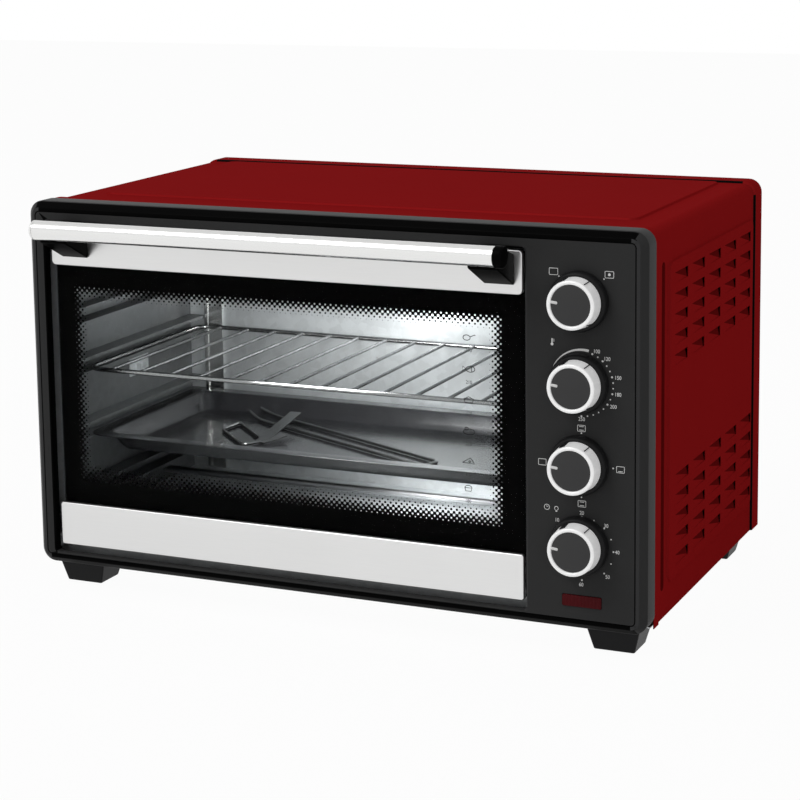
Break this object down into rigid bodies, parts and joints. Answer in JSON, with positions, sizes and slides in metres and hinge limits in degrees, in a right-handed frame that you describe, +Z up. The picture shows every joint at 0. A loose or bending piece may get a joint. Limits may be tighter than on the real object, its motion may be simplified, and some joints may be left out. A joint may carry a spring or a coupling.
{
  "type": "electric oven",
  "caption": "Countertop electric oven with a drop-down glass door, tubular handle, rotary controls, louvred sides, wire rack and baking tray.",
  "frame": {"origin": "on the surface the feet stand on, under the middle of the bounding box", "axes": "-Y out of the front where the door and the controls are, +X to the right seen from the front, +Z up"},
  "size_m": [0.54, 0.378, 0.3315],
  "materials": {
    "black_steel": "satin black enamel paint",
    "red_steel": "metallic red paint",
    "dark_steel": "dark coated sheet",
    "galvanised_steel": "galvanised sheet",
    "plain_steel": "plain machined steel",
    "brushed_strip": "fine horizontal brushing",
    "bright_steel": "polished steel",
    "chrome_ring": "satin chrome",
    "black_plastic": "fine matt texture",
    "switch_plastic": "moulded switch housing",
    "tray_enamel": "dark glossy enamel",
    "door_pane": "clear tempered glass with a printed black border",
    "lamp_lens": "red translucent lens"
  },
  "bodies": {
    "chassis": {"front_frame": "black_steel", "cover": "red_steel", "back_panel": "dark_steel", "base_plate": "galvanised_steel", "cord_gland": "black_plastic", "foot_front_left": "black_plastic", "foot_front_right": "black_plastic", "foot_rear_left": "black_plastic", "foot_rear_right": "black_plastic", "cavity_surround": "galvanised_steel", "cavity_left_wall": "galvanised_steel", "cavity_right_wall": "galvanised_steel", "cavity_roof": "galvanised_steel", "cavity_floor": "galvanised_steel", "cavity_back_wall": "galvanised_steel", "control_partition": "galvanised_steel", "heater_lower_front": "plain_steel", "heater_lower_rear": "plain_steel", "heater_upper_front": "plain_steel", "heater_upper_rear": "plain_steel", "function_switch": "switch_plastic", "thermostat_body": "switch_plastic", "heat_switch": "switch_plastic", "timer_body": "switch_plastic", "pilot_lamp_lens": "lamp_lens", "pilot_lamp_holder": "black_plastic", "hinge_plate_left": "plain_steel", "hinge_plate_right": "plain_steel", "spit_motor": "plain_steel", "spit_rest": "galvanised_steel"},
    "door": {"door_frame": "black_steel", "door_glass": "door_pane", "door_strip_upper": "brushed_strip", "door_strip_lower": "brushed_strip", "hinge_pin_left": "plain_steel", "hinge_pin_right": "plain_steel", "handle_bar": "bright_steel", "handle_cap_left": "bright_steel", "handle_cap_right": "black_plastic", "handle_bracket_left": "black_plastic", "handle_bracket_right": "black_plastic"},
    "rack": {"wire_rack": "bright_steel"},
    "tray": {"baking_tray": "tray_enamel", "spit_lifter": "bright_steel", "tray_lifter": "bright_steel"},
    "function_control": {"knob_function": "black_plastic", "knob_ring_function": "chrome_ring", "knob_shaft_function": "plain_steel"},
    "thermostat_control": {"knob_thermostat": "black_plastic", "knob_ring_thermostat": "chrome_ring", "knob_shaft_thermostat": "plain_steel"},
    "heat_control": {"knob_heat": "black_plastic", "knob_ring_heat": "chrome_ring", "knob_shaft_heat": "plain_steel"},
    "timer_control": {"knob_timer": "black_plastic", "knob_ring_timer": "chrome_ring", "knob_shaft_timer": "plain_steel"},
    "spit_drive": {"spit_socket": "plain_steel"}
  },
  "joints": [
    {"name": "door_hinge", "type": "hinge", "parent": "chassis", "child": "door", "pos_m": [0, -0.13375, 0.0425], "axis": [1, 0, 0], "range_deg": [0, 85]},
    {"name": "rack_slide", "type": "slide", "parent": "chassis", "child": "rack", "axis": [0, -1, 0], "range_m": [0, 0.18]},
    {"name": "tray_slide", "type": "slide", "parent": "chassis", "child": "tray", "axis": [0, -1, 0], "range_m": [0, 0.105]},
    {"name": "function_turn", "type": "hinge", "parent": "chassis", "child": "function_control", "pos_m": [0.2178, -0.14625, 0.27771], "axis": [0, 1, 0], "range_deg": [0, 135]},
    {"name": "thermostat_turn", "type": "hinge", "parent": "chassis", "child": "thermostat_control", "pos_m": [0.2178, -0.14625, 0.21461], "axis": [0, 1, 0], "range_deg": [0, 270]},
    {"name": "heat_turn", "type": "hinge", "parent": "chassis", "child": "heat_control", "pos_m": [0.2178, -0.14625, 0.15151], "axis": [0, 1, 0], "range_deg": [0, 270]},
    {"name": "timer_turn", "type": "hinge", "parent": "chassis", "child": "timer_control", "pos_m": [0.2178, -0.14625, 0.08841], "axis": [0, 1, 0], "range_deg": [0, 270]},
    {"name": "spit_turn", "type": "hinge", "parent": "chassis", "child": "spit_drive", "pos_m": [0.17, 0.00025, 0.1655], "axis": [1, 0, 0], "continuous": true}
  ],
  "couplings": [
    {"joint": "rack_slide", "follows": "door_hinge", "m_per_rad": 0.12},
    {"joint": "tray_slide", "follows": "door_hinge", "m_per_rad": 0.07}
  ]
}
